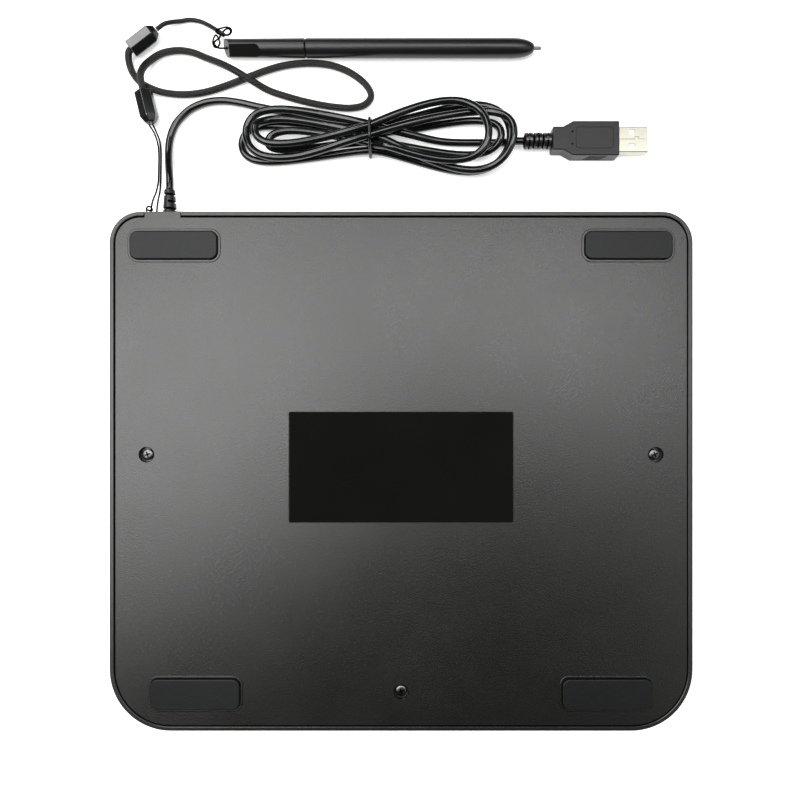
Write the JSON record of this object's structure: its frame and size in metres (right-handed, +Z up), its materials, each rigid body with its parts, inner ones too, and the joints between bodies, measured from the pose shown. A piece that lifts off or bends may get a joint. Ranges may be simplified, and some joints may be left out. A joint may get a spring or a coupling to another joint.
{
  "type": "signature pad",
  "caption": "Flat desktop signature pad lying face down, rubber feet and screws on its underside, with a tethered stylus pen and a tied USB cable behind it.",
  "frame": {"origin": "middle of the pad's front face, which rests on the table as in the picture", "axes": "+Z up, out of the underside that carries the feet; +Y towards the edge where the USB cable leaves; +X along that edge towards the plug"},
  "size_m": [0.265, 0.3317, 0.0156],
  "materials": {
    "case_plastic": "finely textured dark grey",
    "dark_rubber": "matt black",
    "screw_steel": "blackened",
    "plain_label": "satin black film",
    "cable_skin": "glossy black sheath",
    "plug_plastic": "moulded dark grey",
    "bright_steel": "bright plated",
    "white_plastic": "white",
    "braid_fabric": "braided charcoal cord",
    "thread_black": "black thread",
    "pen_plastic": "satin black",
    "nib_plastic": "grey",
    "window_glass": "smoked, over the display",
    "panel_black": "black",
    "board_green": "green solder mask",
    "chip_black": "black",
    "zinc_steel": "zinc plated",
    "ribbon_film": "amber film",
    "coil_copper": "copper winding"
  },
  "bodies": {
    "pad": {"front_housing": "case_plastic", "bottom_cover": "case_plastic", "foot_back_left": "dark_rubber", "foot_back_right": "dark_rubber", "foot_front_left": "dark_rubber", "foot_front_right": "dark_rubber", "cover_screw_left": "screw_steel", "cover_screw_right": "screw_steel", "cover_screw_front": "screw_steel", "blank_label": "plain_label", "front_glass": "window_glass", "lcd_panel": "panel_black", "digitizer_board": "board_green", "shield_plate": "zinc_steel", "main_board": "board_green", "main_chip": "chip_black", "usb_header": "white_plastic", "ribbon_socket": "white_plastic", "ribbon_cable": "ribbon_film", "cable_gland": "plug_plastic", "inner_cable": "cable_skin", "usb_lead": "cable_skin", "usb_hank": "cable_skin", "cable_tie": "thread_black", "plug_boot": "plug_plastic", "plug_body": "plug_plastic", "plug_shell": "bright_steel", "plug_tongue": "white_plastic", "tether_end_pad": "plug_plastic", "tether_end_pen": "plug_plastic", "tether_braid": "braid_fabric", "thin_cord": "braid_fabric", "pad_thread_left": "thread_black", "pad_thread_right": "thread_black", "pen_thread": "thread_black"},
    "pen": {"pen_rear_barrel": "pen_plastic", "pen_front_barrel": "pen_plastic", "sense_coil": "coil_copper", "nib_spring": "zinc_steel", "spring_stop": "white_plastic", "pen_board": "board_green"},
    "nib": {"nib": "nib_plastic", "nib_carrier": "white_plastic"}
  },
  "joints": [
    {"name": "pen_lift", "type": "slide", "parent": "pad", "child": "pen", "axis": [0, 0, 1], "range_m": [0, 0.025], "deforming": ["thin_cord", "pen_thread"]},
    {"name": "nib_slide", "type": "slide", "parent": "pen", "child": "nib", "axis": [-1, 0, 0], "range_m": [0, 0.0008], "stiffness_N_per_m": 600, "deforming": ["nib_spring"]}
  ]
}
